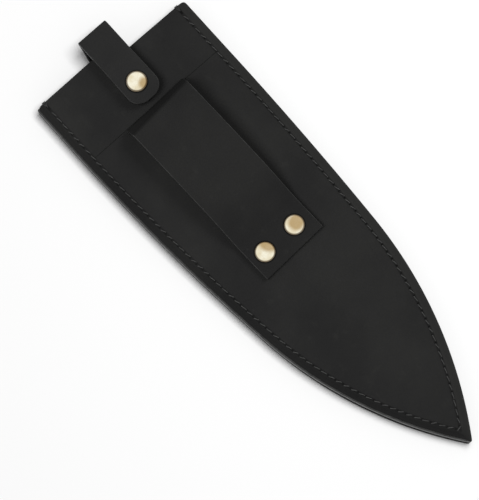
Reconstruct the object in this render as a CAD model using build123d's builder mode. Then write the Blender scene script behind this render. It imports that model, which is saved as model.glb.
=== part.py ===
from build123d import *
import math
import os

# Leather knife blade guard with a belt loop and a snap strap, lying on its back.
# X runs across the guard, Y from the tip to the mouth, Z up out of the front face.
# The origin is the middle of the bounding box at the height of the resting face.

# Sheath body
sheath_length = 210.0
sheath_width = 72.4
leather_thickness = 1.8
welt_thickness = 4.2
welt_width = 8.0
crown_height = 1.2
tip_offset = 3.0
tip_radius = 1.2
mouth_step = 5.8
mouth_step_run = 13.0
mouth_corner_radius = 1.5
edge_round = 0.5
overrun = 30.0

# Places on the outline, as shares of the half width and of the length
right_straight_share = 0.833
right_belly_shares = (0.936, 0.431)
left_straight_share = 0.895
left_belly_shares = (0.829, 0.390)
# Crown stations: shares of length, half width, centre shift and crown height
crown_shares = [
    (1.20, 0.80, 0.00, 1.00),
    (0.75, 0.80, 0.00, 1.00),
    (0.50, 0.75, 0.03, 1.00),
    (0.25, 0.52, 0.05, 0.70),
    (0.08, 0.14, 0.07, 0.10),
    (-0.05, 0.07, 0.08, 0.02),
]

# Seam between the mouth panel and the lower panel, a lap skived in three equal layers
seam_from_mouth = 30.0
seam_gap = 0.2
lap_length = 10.0
lap_layer_share = 1 / 3

# Stitching
stitch_margin = 4.0
thread_width = 0.7
thread_height = 0.5
groove_clearance = 0.1
groove_depth = 0.4
tack_width = 1.6
tack_reach = 3.0
tack_thickness = 0.5

# Belt loop
loop_width = 30.2
loop_thickness = 1.8
loop_skew_deg = 1.3
loop_shift = -0.6
loop_end_from_mouth = 110.3
loop_flat_length = 16.0
loop_rise_length = 16.0
loop_gap = 6.2
loop_shoulder_gap = 4.6
loop_crest_length = 24.0
loop_crest_radius = 24.0
loop_shoulder_radius = 16.0
loop_lean = 4.4
loop_foot_radius = 8.0
loop_fold_radius = 2.2

# Belt loop rivets
rivet_from_side = 7.3
rivet_from_end = 8.2
rivet_shift = -0.5
rivet_radius = 4.1
rivet_rim = 0.4
rivet_dome = 1.6
rivet_post_radius = 1.4
rivet_post_bite = 0.8
rivet_base_height = 1.2
post_clearance = 0.05

# Strap: a tongue of the back panel, creased at its root and at its crest
strap_width = 14.2
strap_root_from_mouth = 3.0
strap_reach = 8.3
strap_overlap = 27.6
strap_end_radius = 5.6
strap_side_clearance = 0.3

# Snap fastener
snap_from_mouth = 19.0
snap_cap_radius = 4.2
snap_rim = 0.4
snap_dome = 1.5
snap_flange_radius = 4.0
snap_flange_height = 0.7
snap_gap = 0.3
socket_radius = 4.2
socket_height = 1.8
socket_web = 0.5
socket_bore_radius = 2.5
spring_wire_radius = 0.25
spring_gap_deg = 50.0
spring_clearance = 0.06
stud_radius = 1.8
stud_neck_radius = 1.3
stud_neck_height = 0.35
stud_height = 1.4
snap_post_radius = 1.0
snap_post_bite = 0.45
snap_backing_height = 0.8

# Places that follow from the sizes above
half_width = sheath_width / 2
overall_length = sheath_length + strap_reach
tip_y = -overall_length / 2
mouth_y = tip_y + sheath_length
seam_y = mouth_y - seam_from_mouth
welt_z = leather_thickness
front_z = leather_thickness + welt_thickness
front_top_z = front_z + leather_thickness
crown_bottom_z = front_z + crown_height
crown_top_z = front_top_z + crown_height
snap_y = mouth_y - snap_from_mouth
flap_z = crown_top_z + snap_flange_height + snap_gap + socket_height
flap_top_z = flap_z + leather_thickness
root_y = mouth_y - strap_root_from_mouth
crest_y = mouth_y + strap_reach
flap_end_y = mouth_y - strap_overlap
loop_end_y = mouth_y - loop_end_from_mouth
rivet_y = loop_end_y + rivet_from_end
lap_layer = leather_thickness * lap_layer_share
wide = 2 * sheath_width

os.makedirs("parts", exist_ok=True)


def write(piece, name):
    """Labels one finished piece and writes its STEP file."""
    piece.part.label = name
    export_step(piece.part, f"parts/{name}.step")


def side_edge(side, straight_share, belly_shares, inset):
    """One long side of the outline, from past the mouth to the tip, drawn in by an inset."""
    start = Vector(side * half_width, tip_y + sheath_length * straight_share)
    belly = Vector(side * half_width * belly_shares[0], tip_y + sheath_length * belly_shares[1])
    tip = Vector(tip_offset, tip_y)
    with BuildLine(mode=Mode.PRIVATE):
        upper = TangentArc(start, belly, tangent=(0, -1))
        lower = TangentArc(belly, tip, tangent=upper % 1)
    inward = side * inset
    start += Vector(-inward, 0)
    belly += (upper % 1).rotate(Axis.Z, -90) * inward
    tip += (lower % 1).rotate(Axis.Z, -90) * inward
    end_y = mouth_y + overrun
    with BuildLine() as edge:
        Line((start.X, end_y), start)
        upper = TangentArc(start, belly, tangent=(0, -1))
        TangentArc(belly, tip, tangent=upper % 1)
        Polyline(tip, (-side * wide, tip.Y), (-side * wide, end_y), (start.X, end_y))
    return edge.line


def leaf(inset):
    """The leaf outline with its tip rounded, run on past the mouth and drawn in by an inset."""
    with BuildSketch() as outline:
        with BuildLine():
            add(side_edge(1, right_straight_share, right_belly_shares, inset))
        make_face()
        with BuildLine():
            add(side_edge(-1, left_straight_share, left_belly_shares, inset))
        make_face(mode=Mode.INTERSECT)
        fillet(outline.vertices().sort_by(Axis.Y)[0], tip_radius)
    return outline.sketch


tip_drop = tip_y - leaf(0).bounding_box().min.Y


def side_outline(inset):
    """The leaf outline, moved so that its rounded tip ends the sheath."""
    with BuildSketch() as placed:
        with Locations((0, tip_drop)):
            add(leaf(inset))
    return placed.sketch


def beyond_mouth(reach=0):
    """Everything past the stepped mouth line, moved out by a reach."""
    high = mouth_y + reach
    low = high - mouth_step
    far = mouth_y + wide
    run = mouth_step_run / 2
    with BuildSketch() as region:
        with BuildLine():
            Polyline(
                (-wide, high),
                (-run, high),
                (run, low),
                (wide, low),
                (wide, far),
                (-wide, far),
                close=True,
            )
        make_face()
    return region.sketch


def band(low_y, high_y, width=wide, skew_deg=0, middle_x=0):
    """A flat rectangle across the guard between two heights, turned about its place on the seam."""
    turned = Plane(origin=(middle_x, seam_y, 0)).rotated((0, 0, skew_deg))
    with BuildSketch(turned) as region:
        with Locations((0, (low_y + high_y) / 2 - seam_y)):
            Rectangle(width, high_y - low_y)
    return region.sketch


def crowned_slab(low, high):
    """A layer that follows the crown of the front, between two heights above its underside."""
    with BuildPart() as slab:
        for length_share, width_share, shift_share, height_share in crown_shares:
            middle = half_width * shift_share
            reach = half_width * width_share
            rise = crown_height * height_share
            left = middle - reach
            right = middle + reach
            bottom = front_z + low
            top = front_z + high
            with BuildSketch(Plane.XZ.offset(-(tip_y + sheath_length * length_share))):
                with BuildLine():
                    Polyline((left, bottom), (-wide, bottom), (-wide, top), (left, top))
                    ThreePointArc((left, top), (middle, top + rise), (right, top))
                    Polyline((right, top), (wide, top), (wide, bottom), (right, bottom))
                    ThreePointArc((right, bottom), (middle, bottom + rise), (left, bottom))
                make_face()
        loft(ruled=True)
    return slab.part


def thread_line(width):
    """The band of the stitch line, as wide as the thread or its groove."""
    with BuildSketch() as line:
        add(side_outline(stitch_margin - width / 2))
        add(side_outline(stitch_margin + width / 2), mode=Mode.SUBTRACT)
        add(beyond_mouth(-stitch_margin), mode=Mode.SUBTRACT)
    return line.sketch


def rivet_places():
    """The two rivet centres, set in from the loop's sides and skewed with it."""
    turn = math.radians(loop_skew_deg)
    drop = seam_y - rivet_y
    for side in (-1, 1):
        across = side * (loop_width / 2 - rivet_from_side) + rivet_shift
        yield (
            loop_shift + across * math.cos(turn) + drop * math.sin(turn),
            seam_y - drop * math.cos(turn) + across * math.sin(turn),
        )


outline = side_outline(0)
pocket_outline = side_outline(welt_width)
groove_line = thread_line(thread_width + 2 * groove_clearance)
seam_tongue = band(seam_y - loop_thickness, seam_y + lap_length, loop_width, loop_skew_deg, loop_shift)
rivet_holes = list(rivet_places())
front_layer = crowned_slab(0, leather_thickness)

# Back panel, resting on its outer face, with the root of the strap's tongue
root_bend = math.atan2(flap_top_z, crest_y - root_y)
root_set_back = leather_thickness * math.tan(root_bend / 2)
tongue_gap_half = strap_width / 2 + strap_side_clearance
with BuildPart() as back_panel:
    with BuildSketch():
        add(outline)
        add(beyond_mouth(), mode=Mode.SUBTRACT)
    extrude(amount=leather_thickness)
    corners = back_panel.edges().filter_by(Axis.Z).group_by(Axis.X)
    fillet([corners[0].sort_by(Axis.Y)[-1], corners[-1].sort_by(Axis.Y)[-1]], mouth_corner_radius)
    chamfer(back_panel.faces().sort_by(Axis.Z)[0].outer_wire().edges(), edge_round)
    with BuildSketch():
        with Locations((0, root_y + overrun / 2)):
            Rectangle(2 * tongue_gap_half, overrun)
    extrude(amount=leather_thickness, mode=Mode.SUBTRACT)
    with BuildSketch(Plane.YZ.offset(-strap_width / 2)):
        with BuildLine():
            Polyline(
                (root_y - mouth_step, 0),
                (root_y, 0),
                (root_y - root_set_back, leather_thickness),
                (root_y - mouth_step, leather_thickness),
                close=True,
            )
        make_face()
    extrude(amount=strap_width)
    with BuildSketch(Plane.YZ.offset(-tongue_gap_half)):
        with BuildLine():
            Polyline(
                (root_y, 0),
                (root_y - root_set_back, leather_thickness),
                (root_y, leather_thickness),
                close=True,
            )
        make_face()
    extrude(amount=2 * tongue_gap_half, mode=Mode.SUBTRACT)
    with BuildSketch():
        add(groove_line)
    extrude(amount=groove_depth + groove_clearance, mode=Mode.SUBTRACT)
write(back_panel, "back_panel")

# Welt strips that hold the panels apart, one down each side to the tip
for side, name in ((-1, "welt_left"), (1, "welt_right")):
    with BuildPart() as welt:
        with BuildSketch(Plane.XY.offset(welt_z)):
            add(outline)
            add(beyond_mouth(), mode=Mode.SUBTRACT)
            add(pocket_outline, mode=Mode.SUBTRACT)
            with Locations((tip_offset - side * wide / 2, 0)):
                Rectangle(wide, 2 * overall_length, mode=Mode.SUBTRACT)
        extrude(amount=welt_thickness)
        outer_edges = welt.edges().filter_by(Axis.Z).sort_by(Axis.X)
        mouth_corner = (outer_edges if side < 0 else outer_edges[::-1])[:2].sort_by(Axis.Y)[-1]
        fillet(mouth_corner, mouth_corner_radius)
    write(welt, name)

# Three layers of the lap at the seam: the lower panel's, the belt loop's tongue's and the mouth panel's
panel_height = leather_thickness + crown_height
with BuildPart() as lap:
    with BuildSketch(Plane.XY.offset(front_z)):
        add(outline)
        add(band(seam_y, seam_y + lap_length), mode=Mode.INTERSECT)
    extrude(amount=panel_height)
    add(crowned_slab(0, lap_layer), mode=Mode.INTERSECT)
with BuildPart() as tongue:
    with BuildSketch(Plane.XY.offset(front_z)):
        add(seam_tongue)
    extrude(amount=panel_height)
    add(crowned_slab(lap_layer, 2 * lap_layer), mode=Mode.INTERSECT)
with BuildPart() as notch:
    with BuildSketch(Plane.XY.offset(front_z)):
        add(seam_tongue)
    extrude(amount=panel_height)
    add(crowned_slab(lap_layer, panel_height), mode=Mode.INTERSECT)

# Front lower panel, its upper edge skived under the mouth panel and notched for the loop
with BuildPart() as front_lower_panel:
    with BuildSketch(Plane.XY.offset(front_z)):
        add(outline)
        add(band(seam_y, mouth_y + wide), mode=Mode.SUBTRACT)
    extrude(amount=panel_height)
    add(front_layer, mode=Mode.INTERSECT)
    add(lap.part)
    add(notch.part, mode=Mode.SUBTRACT)
    with BuildSketch(Plane.XY.offset(front_top_z - groove_depth)):
        add(groove_line)
    extrude(amount=leather_thickness, mode=Mode.SUBTRACT)
    with BuildSketch(Plane.XY.offset(front_z)):
        with Locations(*rivet_holes):
            Circle(rivet_post_radius + post_clearance)
    extrude(amount=panel_height, mode=Mode.SUBTRACT)
write(front_lower_panel, "front_lower_panel")

# Front mouth panel, flush with the lower panel and skived over its lap
with BuildPart() as front_mouth_panel:
    with BuildSketch(Plane.XY.offset(front_z)):
        add(outline)
        add(beyond_mouth(), mode=Mode.SUBTRACT)
        add(band(tip_y - wide, seam_y + seam_gap), mode=Mode.SUBTRACT)
    extrude(amount=panel_height)
    corners = front_mouth_panel.edges().filter_by(Axis.Z).group_by(Axis.X)
    fillet([corners[0].sort_by(Axis.Y)[-1], corners[-1].sort_by(Axis.Y)[-1]], mouth_corner_radius)
    add(front_layer, mode=Mode.INTERSECT)
    add(lap.part, mode=Mode.SUBTRACT)
    add(tongue.part, mode=Mode.SUBTRACT)
    with BuildSketch(Plane.XY.offset(front_z)):
        add(band(seam_y - loop_thickness, seam_y + seam_gap, loop_width, loop_skew_deg, loop_shift))
    extrude(amount=panel_height, mode=Mode.SUBTRACT)
    with BuildSketch(Plane.XY.offset(front_top_z - groove_depth)):
        add(groove_line)
    extrude(amount=leather_thickness, mode=Mode.SUBTRACT)
    with BuildSketch(Plane.XY.offset(front_z)):
        with Locations((0, snap_y)):
            Circle(snap_post_radius + post_clearance)
    extrude(amount=panel_height, mode=Mode.SUBTRACT)
write(front_mouth_panel, "front_mouth_panel")


def parallel(points, distance):
    """The points of an open path moved sideways, to the right of its run."""
    path = [Vector(*point) for point in points]
    runs = [(end - start).normalized() for start, end in zip(path, path[1:])]
    rights = [run.rotate(Axis.Z, -90) for run in runs]
    moved = [path[0] + rights[0] * distance]
    for point, before, after in zip(path[1:], rights, rights[1:]):
        middle = before + after
        moved.append(point + middle * (distance / middle.dot(before)))
    moved.append(path[-1] + rights[-1] * distance)
    return moved


# Belt loop: a tongue held in the lap, a steep rise out of the seam, a fold and a run down to the rivets
loop_side_plane = Plane(origin=(loop_shift, seam_y, 0)).rotated((0, 0, loop_skew_deg))
loop_profile_plane = Plane(
    origin=loop_side_plane.from_local_coords((-loop_width / 2, 0, 0)),
    x_dir=loop_side_plane.y_dir,
    z_dir=loop_side_plane.x_dir,
)
loop_rivet_run = loop_end_y + loop_flat_length - seam_y
loop_path = [
    (-loop_thickness, front_z),
    (-loop_thickness, crown_top_z + loop_thickness),
    (-loop_lean, crown_top_z + loop_gap),
    (-loop_lean - loop_crest_length, crown_top_z + loop_gap),
    (loop_rivet_run + loop_rise_length, crown_top_z + loop_shoulder_gap),
    (loop_rivet_run, crown_top_z),
    (loop_end_y - seam_y, crown_top_z),
]
bend_radii = [
    loop_fold_radius,
    loop_fold_radius,
    loop_crest_radius,
    loop_shoulder_radius,
    loop_foot_radius,
]
bend_turns = [1, 1, 1, 1, -1]
with BuildPart() as above_tongue:
    with BuildSketch(Plane.XY.offset(front_z)):
        add(band(seam_y, seam_y + overrun, wide, loop_skew_deg))
    extrude(amount=overrun)
    add(crowned_slab(2 * lap_layer, 2 * overrun), mode=Mode.INTERSECT)
with BuildPart() as belt_loop:
    with BuildSketch(loop_profile_plane):
        with BuildLine():
            inner = FilletPolyline(*loop_path, radius=bend_radii)
            outer_radii = [r + loop_thickness * turn for r, turn in zip(bend_radii, bend_turns)]
            outer = FilletPolyline(*parallel(loop_path, loop_thickness), radius=outer_radii)
            Line(inner @ 0, outer @ 0)
            Line(inner @ 1, outer @ 1)
        make_face()
    extrude(amount=loop_width)
    with BuildSketch(Plane.XY.offset(front_z)):
        add(seam_tongue)
    extrude(amount=panel_height)
    add(crowned_slab(lap_layer, overrun), mode=Mode.INTERSECT)
    add(above_tongue.part, mode=Mode.SUBTRACT)
    with BuildSketch(Plane.XY.offset(front_z)):
        with Locations(*rivet_holes):
            Circle(rivet_post_radius + post_clearance)
    extrude(amount=overrun, mode=Mode.SUBTRACT)
write(belt_loop, "belt_loop")


def domed_cap(place, radius, rim, dome, post_radius, post_length):
    """A domed cap standing on its seat, with a plain post below it."""
    seat = Plane(origin=place, x_dir=(1, 0, 0), z_dir=(0, -1, 0))
    with BuildPart() as cap:
        with BuildSketch(seat):
            with BuildLine():
                Polyline(
                    (0, dome),
                    (0, -post_length),
                    (post_radius, -post_length),
                    (post_radius, 0),
                    (radius, 0),
                    (radius, rim),
                )
                TangentArc((0, dome), (radius, rim), tangent=(1, 0))
            make_face()
        revolve(axis=Axis(place, (0, 0, 1)))
    return cap


# Rivets of the belt loop: a domed cap with its post in front, a base inside the pocket
rivet_post_length = loop_thickness + leather_thickness + rivet_post_bite
for (rivet_x, rivet_at_y), side in zip(rivet_holes, ("left", "right")):
    seat = (rivet_x, rivet_at_y, crown_top_z + loop_thickness)
    rivet_cap = domed_cap(seat, rivet_radius, rivet_rim, rivet_dome, rivet_post_radius, rivet_post_length)
    write(rivet_cap, f"loop_rivet_cap_{side}")
    with BuildPart() as rivet_base:
        with BuildSketch(Plane.XY.offset(crown_bottom_z - rivet_base_height)):
            with Locations((rivet_x, rivet_at_y)):
                Circle(rivet_radius)
        extrude(amount=rivet_base_height)
        add(front_layer, mode=Mode.SUBTRACT)
        fillet(rivet_base.edges().group_by(Axis.Z)[0], rivet_rim)
        with BuildSketch(Plane.XY.offset(crown_bottom_z - rivet_post_bite)):
            with Locations((rivet_x, rivet_at_y)):
                Circle(rivet_post_radius + post_clearance)
        extrude(amount=rivet_post_bite, mode=Mode.SUBTRACT)
    write(rivet_base, f"loop_rivet_base_{side}")

# Strap riser, mitred against the back panel at its root and against the flap at the crest
fold_set_back = leather_thickness / math.tan(root_bend / 2)
with BuildPart() as strap_riser:
    with BuildSketch(Plane.YZ.offset(-strap_width / 2)):
        with BuildLine():
            Polyline(
                (root_y, 0),
                (crest_y, flap_top_z),
                (crest_y - fold_set_back, flap_z),
                (root_y - root_set_back, leather_thickness),
                close=True,
            )
        make_face()
    extrude(amount=strap_width)
write(strap_riser, "strap_riser")

# Strap flap, folded down over the mouth to the snap
with BuildPart() as strap_flap:
    with BuildSketch(Plane.YZ.offset(-strap_width / 2)):
        with BuildLine():
            Polyline(
                (crest_y, flap_top_z),
                (flap_end_y, flap_top_z),
                (flap_end_y, flap_z),
                (crest_y - fold_set_back, flap_z),
                close=True,
            )
        make_face()
    extrude(amount=strap_width)
    fillet(strap_flap.edges().filter_by(Axis.Z).group_by(Axis.Y)[0], strap_end_radius)
    with BuildSketch(Plane.XY.offset(flap_z)):
        with Locations((0, snap_y)):
            Circle(snap_post_radius + post_clearance)
    extrude(amount=leather_thickness, mode=Mode.SUBTRACT)
write(strap_flap, "strap_flap")

# Snap: cap and socket on the flap, stud and backing on the mouth panel
snap_cap_post = leather_thickness + socket_web
snap_seat = (0, snap_y, flap_top_z)
snap_cap = domed_cap(snap_seat, snap_cap_radius, snap_rim, snap_dome, snap_post_radius, snap_cap_post)
write(snap_cap, "snap_cap")

spring_middle_radius = socket_bore_radius + spring_wire_radius + spring_clearance
spring_z = flap_z - socket_web - (socket_height - socket_web) / 2
socket_z = flap_z - socket_height
spring_room = spring_wire_radius + spring_clearance
with BuildPart() as snap_socket:
    with BuildSketch(Plane.XY.offset(socket_z)):
        with Locations((0, snap_y)):
            Circle(socket_radius)
    extrude(amount=socket_height)
    fillet(snap_socket.edges().group_by(Axis.Z)[0], snap_rim)
    with BuildSketch(Plane.XY.offset(socket_z)):
        with Locations((0, snap_y)):
            Circle(socket_bore_radius)
    extrude(amount=socket_height - socket_web, mode=Mode.SUBTRACT)
    with BuildSketch(Plane.XY.offset(spring_z - spring_room)):
        with Locations((0, snap_y)):
            Circle(spring_middle_radius + spring_room)
    extrude(amount=2 * spring_room, mode=Mode.SUBTRACT)
    with BuildSketch(Plane.XY.offset(socket_z)):
        with Locations((0, snap_y)):
            Circle(snap_post_radius + post_clearance)
    extrude(amount=socket_height, mode=Mode.SUBTRACT)
write(snap_socket, "snap_socket")

with BuildPart() as snap_spring:
    with BuildSketch(Plane(origin=(0, snap_y, spring_z), x_dir=(1, 0, 0), z_dir=(0, -1, 0))):
        with Locations((spring_middle_radius, 0)):
            Circle(spring_wire_radius)
    revolve(axis=Axis((0, snap_y, 0), (0, 0, 1)), revolution_arc=360 - spring_gap_deg)
write(snap_spring, "snap_spring")

stud_z = crown_top_z + snap_flange_height
with BuildPart() as snap_stud:
    with BuildSketch(Plane(origin=(0, snap_y, stud_z), x_dir=(1, 0, 0), z_dir=(0, -1, 0))):
        with BuildLine():
            Polyline(
                (0, stud_height),
                (0, -snap_flange_height),
                (snap_flange_radius, -snap_flange_height),
                (snap_flange_radius, 0),
                (stud_neck_radius, 0),
                (stud_neck_radius, stud_neck_height),
                (stud_radius, 2 * stud_neck_height),
            )
            TangentArc((0, stud_height), (stud_radius, 2 * stud_neck_height), tangent=(1, 0))
        make_face()
    revolve(axis=Axis((0, snap_y, 0), (0, 0, 1)))
    with BuildSketch(Plane.XY.offset(crown_top_z)):
        with Locations((0, snap_y)):
            Circle(snap_post_radius + post_clearance)
    extrude(amount=snap_post_bite, mode=Mode.SUBTRACT)
write(snap_stud, "snap_stud")

with BuildPart() as snap_backing:
    with BuildSketch(Plane.XY.offset(crown_bottom_z - snap_backing_height)):
        with Locations((0, snap_y)):
            Circle(snap_flange_radius)
    extrude(amount=snap_backing_height)
    add(front_layer, mode=Mode.SUBTRACT)
    fillet(snap_backing.edges().group_by(Axis.Z)[0], snap_rim)
    with BuildSketch(Plane.XY.offset(crown_bottom_z - snap_backing_height)):
        with Locations((0, snap_y)):
            Circle(snap_post_radius)
    extrude(amount=snap_backing_height + leather_thickness + snap_post_bite)
write(snap_backing, "snap_backing")

# Threads of the lockstitch, one lying in the front groove and one in the back groove
thread_path = thread_line(thread_width)
thread_front_z = front_top_z - groove_depth
for name, thread_z, height in (
    ("thread_front", thread_front_z, thread_height),
    ("thread_back", groove_clearance, groove_depth),
):
    with BuildPart() as thread:
        with BuildSketch(Plane.XY.offset(thread_z)):
            add(thread_path)
        extrude(amount=height)
    write(thread, name)

# Tacks of thread that wrap the edge at both ends of the seam
for side, name, mouth in ((-1, "tack_left", mouth_y), (1, "tack_right", mouth_y - mouth_step)):
    tack_x = side * (half_width - stitch_margin) - tack_width / 2
    with BuildPart() as tack:
        with BuildSketch(Plane.YZ.offset(tack_x)):
            with BuildLine():
                Polyline(
                    (mouth - tack_reach, front_top_z),
                    (mouth, front_top_z),
                    (mouth, groove_clearance),
                    (mouth + tack_thickness, groove_clearance),
                    (mouth + tack_thickness, front_top_z + tack_thickness),
                    (mouth - tack_reach, front_top_z + tack_thickness),
                    close=True,
                )
            make_face()
        extrude(amount=tack_width)
        fillet(tack.edges().filter_by(Axis.X).group_by(Axis.Z)[-1], tack_thickness / 2)
    write(tack, name)
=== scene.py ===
import bmesh
import bpy
import math
import numpy as np
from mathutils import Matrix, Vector


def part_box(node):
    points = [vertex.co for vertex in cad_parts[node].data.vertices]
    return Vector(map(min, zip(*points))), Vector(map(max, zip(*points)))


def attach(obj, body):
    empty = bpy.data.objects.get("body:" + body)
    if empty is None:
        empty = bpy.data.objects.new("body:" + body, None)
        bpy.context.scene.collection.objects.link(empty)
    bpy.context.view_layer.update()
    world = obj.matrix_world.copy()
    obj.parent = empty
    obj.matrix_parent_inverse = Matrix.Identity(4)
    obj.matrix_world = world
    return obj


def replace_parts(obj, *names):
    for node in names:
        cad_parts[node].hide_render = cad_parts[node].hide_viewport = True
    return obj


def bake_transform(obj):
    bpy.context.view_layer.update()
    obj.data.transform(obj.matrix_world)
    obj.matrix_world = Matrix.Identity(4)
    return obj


# Leather knife blade guard. Lengths are in millimetres until a mesh is made, x across, y from tip to mouth.
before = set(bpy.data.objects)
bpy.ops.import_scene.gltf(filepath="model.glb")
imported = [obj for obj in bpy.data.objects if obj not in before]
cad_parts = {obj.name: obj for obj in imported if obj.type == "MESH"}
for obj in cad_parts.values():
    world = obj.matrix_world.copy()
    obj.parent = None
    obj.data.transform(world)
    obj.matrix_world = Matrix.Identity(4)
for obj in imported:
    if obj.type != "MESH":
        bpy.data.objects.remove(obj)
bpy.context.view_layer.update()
print("frame loaded")

sheath = {
    "tipY": -109.15, "mouthY": 100.85, "width": 72.4, "leather": 1.8, "welt": 4.2, "crown": 1.2,
    "tipShift": 3.0, "tipRadius": 1.2, "tipCut": 0.861, "mouthStep": 5.8, "stepRun": 13.0,
    "mouthCorner": 1.5, "seamFromMouth": 30.0, "stitchMargin": 4.0, "weltWidth": 8.0,
}
tipY, mouthY, mouthStep = sheath["tipY"], sheath["mouthY"], sheath["mouthStep"]
tipShift, stitchMargin = sheath["tipShift"], sheath["stitchMargin"]
length = mouthY - tipY
halfWidth = sheath["width"] / 2
seamY = mouthY - sheath["seamFromMouth"]
frontZ = sheath["leather"] + sheath["welt"]
frontTopZ = frontZ + sheath["leather"]


# Shader nodes written as expressions on sockets
class Wire:
    def __init__(self, tree, socket=None):
        self.tree, self.socket = tree, socket

    def add(self, kind, inputs=None, output=0, **settings):
        node = self.tree.nodes.new(kind)
        for key, value in settings.items():
            setattr(node, key, value)
        for key, value in (inputs or {}).items():
            if isinstance(value, Wire):
                self.tree.links.new(value.socket, node.inputs[key])
            else:
                node.inputs[key].default_value = value
        return Wire(self.tree, node.outputs[output])

    def maths(self, operation, *values):
        return self.add("ShaderNodeMath", dict(enumerate(values)), operation=operation)

    def out(self, name):  # another output of the same node
        return Wire(self.tree, self.socket.node.outputs[name])


# plus, minus, times and divided by, with a socket on either side
for name, operation in (("add", "ADD"), ("sub", "SUBTRACT"), ("mul", "MULTIPLY"), ("truediv", "DIVIDE")):
    setattr(Wire, f"__{name}__", lambda self, other, sign=operation: self.maths(sign, self, other))
    setattr(Wire, f"__r{name}__", lambda self, other, sign=operation: self.maths(sign, other, self))


def blend(wire, factor, one, other):
    return wire.add("ShaderNodeMix", {0: factor, 6: one, 7: other}, 2, data_type="RGBA")


def smoothMask(wire, value, low, high):
    return wire.add("ShaderNodeMapRange", {0: value, 1: low, 2: high}, interpolation_type="SMOOTHSTEP")


def noiseOf(wire, place, scale, detail=3.0, rough=0.55):
    grain = {"Vector": place, "Scale": scale, "Detail": detail, "Roughness": rough}
    return wire.add("ShaderNodeTexNoise", grain)


def bumpOf(wire, strength, depth, height):
    return wire.add("ShaderNodeBump", {"Strength": strength, "Distance": depth, "Height": height})


def axis(wire, vector, name):
    return wire.add("ShaderNodeSeparateXYZ", {0: vector}, name)


def awayFrom(wire, place, middle):
    # distance from a place on the guard, both in millimetres
    metres = tuple(v / 1000 for v in middle)
    return wire.add("ShaderNodeVectorMath", {0: place, 1: metres}, "Value", operation="DISTANCE") * 1000


def toned(shade, tone):
    return [tone * v for v in shade[:3]] + [1]


def newMaterial(name):
    made = bpy.data.materials.new(name)
    made.use_nodes = True
    wire = Wire(made.node_tree)
    return made, wire, wire.add("ShaderNodeTexCoord", output="Object")


def feed(made, **sockets):
    shader = made.node_tree.nodes["Principled BSDF"]
    for name, value in sockets.items():
        socket = shader.inputs[name.replace("_", " ")]
        if isinstance(value, Wire):
            made.node_tree.links.new(value.socket, socket)
        else:
            socket.default_value = value
    return made


leatherLook = {
    "dark": (0.0076, 0.0076, 0.0076, 1), "light": (0.0104, 0.0104, 0.0101, 1),
    # hole is the near-black of the pores and of painted shade in the holes, groove, fold, cap rings and left
    # margin; edge is the tone of scuffs, the worn rim and the right margin's painted sheen
    "edge": (0.016, 0.016, 0.015, 1), "hole": (0.0010, 0.0010, 0.0010, 1),
    "cloudScale": 28.0, "scuffScale": 190.0, "poreScale": 900.0, "grainScale": 1500.0, "wearScale": 420.0,
    "grainDepth": 0.00005, "grainBump": 0.5, "grainShare": 0.6, "creaseShare": 0.4,
    "rough": 0.55, "cloudRough": 0.12, "scuffGloss": 0.06, "shine": 0.04,
    "cloudRun": (0.3, 0.7), "poreRun": (0.0, 0.16), "poreShade": 0.10,
    "scuffRun": (0.56, 0.74), "scuffShade": 0.22, "foldShade": 0.34, "foldRun": (-0.0003, 0.0001),
    "dentWidth": 0.7, "dentShade": 0.9, "dentDepth": 3.0,
    # stitch holes: half lengths in stitches, half widths in centimetres
    "holeLength": (0.04, 0.13), "holeWidth": (0.02, 0.06), "grooveWidth": (0.02, 0.085),
    "rightFrom": (0.001, 0.006), "leftHole": 0.35, "rightHole": 0.8, "holeDepth": 6.0,
    "grooveShade": 0.35, "grooveDepth": 1.6,
    "marginRun": (0.30, 0.40), "leftMarginShade": 0.28, "rightMarginSheen": 0.28,
    "rimRun": (0.01, 0.07), "wearRun": (0.42, 0.62), "wornRim": 0.6,
}


def foldShade(wire, place, foldLine, colour):
    # foldLine is a place and a turn in degrees; past it the leather is darkened by painted shade, standing
    # for the shade on the fold's steep face
    turned = wire.add("ShaderNodeMapping", {
        "Vector": place, "Location": (foldLine[0] / 1000, foldLine[1] / 1000, 0),
        "Rotation": (0, 0, math.radians(foldLine[2])),
    }, vector_type="TEXTURE")
    past = smoothMask(wire, axis(wire, turned, "Y"), *leatherLook["foldRun"])
    return blend(wire, past * leatherLook["foldShade"], colour, leatherLook["hole"])


def capDentsAndShade(wire, place, dentedAndShaded, colour, height):
    # a list of the middle and the radius of each cap; round each the bump is dented and the colour darkened
    # by a painted contact shadow
    for middle, radius in dentedAndShaded:
        out = awayFrom(wire, place, middle)
        dentAndShade = 1 - smoothMask(wire, out, radius, radius + leatherLook["dentWidth"])
        # painted contact shadow round the cap; the line below dents the bump
        colour = blend(wire, dentAndShade * leatherLook["dentShade"], colour, leatherLook["hole"])
        height = height - dentAndShade * leatherLook["dentDepth"]
    return colour, height


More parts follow.
